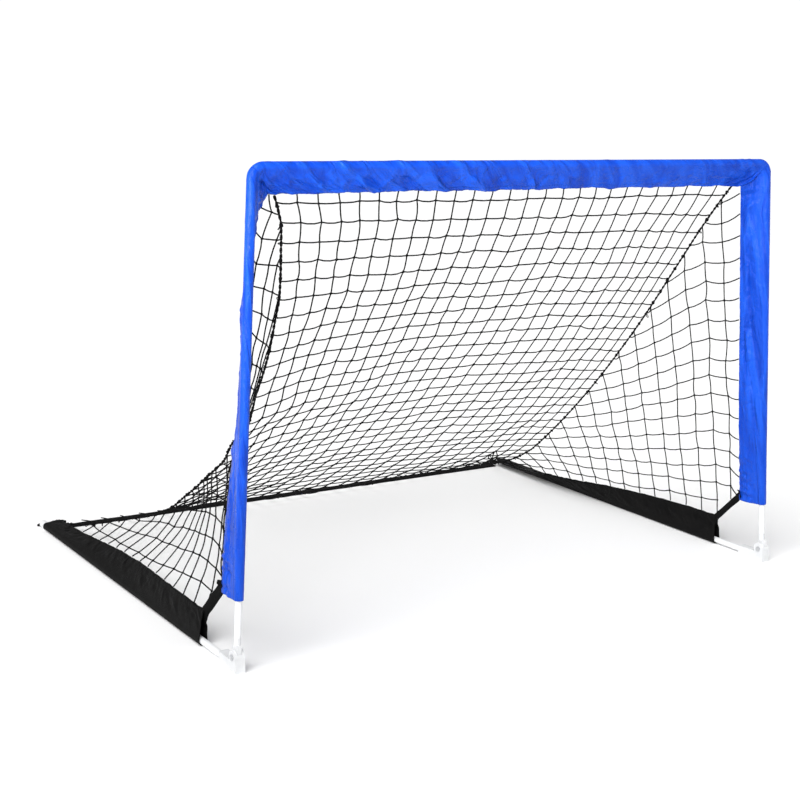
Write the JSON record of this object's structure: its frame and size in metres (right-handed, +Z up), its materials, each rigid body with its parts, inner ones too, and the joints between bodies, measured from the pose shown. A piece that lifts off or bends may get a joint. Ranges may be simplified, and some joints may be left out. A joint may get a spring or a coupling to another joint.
{
  "type": "folding soccer goal",
  "caption": "Small folding soccer goal: cloth-sleeved front frame hinged at its feet to base arms, with a sloping knotted net and webbing ground strap.",
  "frame": {"origin": "middle of the footprint on the ground, under the centre of the goal's box", "axes": "+X along the crossbar to the right as seen from in front, +Y back from the mouth to the ground strap, +Z up"},
  "size_m": [1.357, 1.1095, 0.88],
  "materials": {
    "tube_white": "white powder coat, satin",
    "moulded_plastic": "pale grey moulded, fine texture",
    "zinc_pin": "zinc-plated rivet",
    "blue_polyester": "shiny royal-blue coated polyester, lightly wrinkled",
    "black_oxford": "matt black Oxford cloth",
    "webbing": "black woven webbing",
    "net_twine": "black twisted twine, knotted"
  },
  "bodies": {
    "base": {"foot_bracket_left": "moulded_plastic", "foot_bracket_right": "moulded_plastic", "hinge_pin_left": "zinc_pin", "hinge_pin_right": "zinc_pin", "arm_tube_left": "tube_white", "arm_tube_right": "tube_white", "arm_end_cap_left": "moulded_plastic", "arm_end_cap_right": "moulded_plastic", "base_sleeve_left": "black_oxford", "base_sleeve_right": "black_oxford", "rear_strap": "webbing", "peg_loop_left": "webbing", "peg_loop_right": "webbing", "corner_tape_left": "webbing", "corner_tape_right": "webbing", "side_net_left": "net_twine", "side_net_right": "net_twine", "rear_net": "net_twine", "seam_cord_left": "net_twine", "seam_cord_right": "net_twine"},
    "front_frame": {"crossbar_tube": "tube_white", "post_tube_left": "tube_white", "post_tube_right": "tube_white", "corner_elbow_left": "moulded_plastic", "corner_elbow_right": "moulded_plastic", "post_hinge_tongue_left": "moulded_plastic", "post_hinge_tongue_right": "moulded_plastic", "crossbar_sleeve": "blue_polyester", "post_sleeve_left": "blue_polyester", "post_sleeve_right": "blue_polyester"}
  },
  "joints": [
    {"name": "frame_fold", "type": "hinge", "parent": "base", "child": "front_frame", "pos_m": [0, -0.54125, 0.0275], "axis": [-1, 0, 0], "range_deg": [0, 90], "deforming": ["rear_net", "side_net_left", "side_net_right", "seam_cord_left", "seam_cord_right", "corner_tape_left", "corner_tape_right", "base_sleeve_left", "base_sleeve_right", "post_sleeve_left", "post_sleeve_right"]}
  ]
}
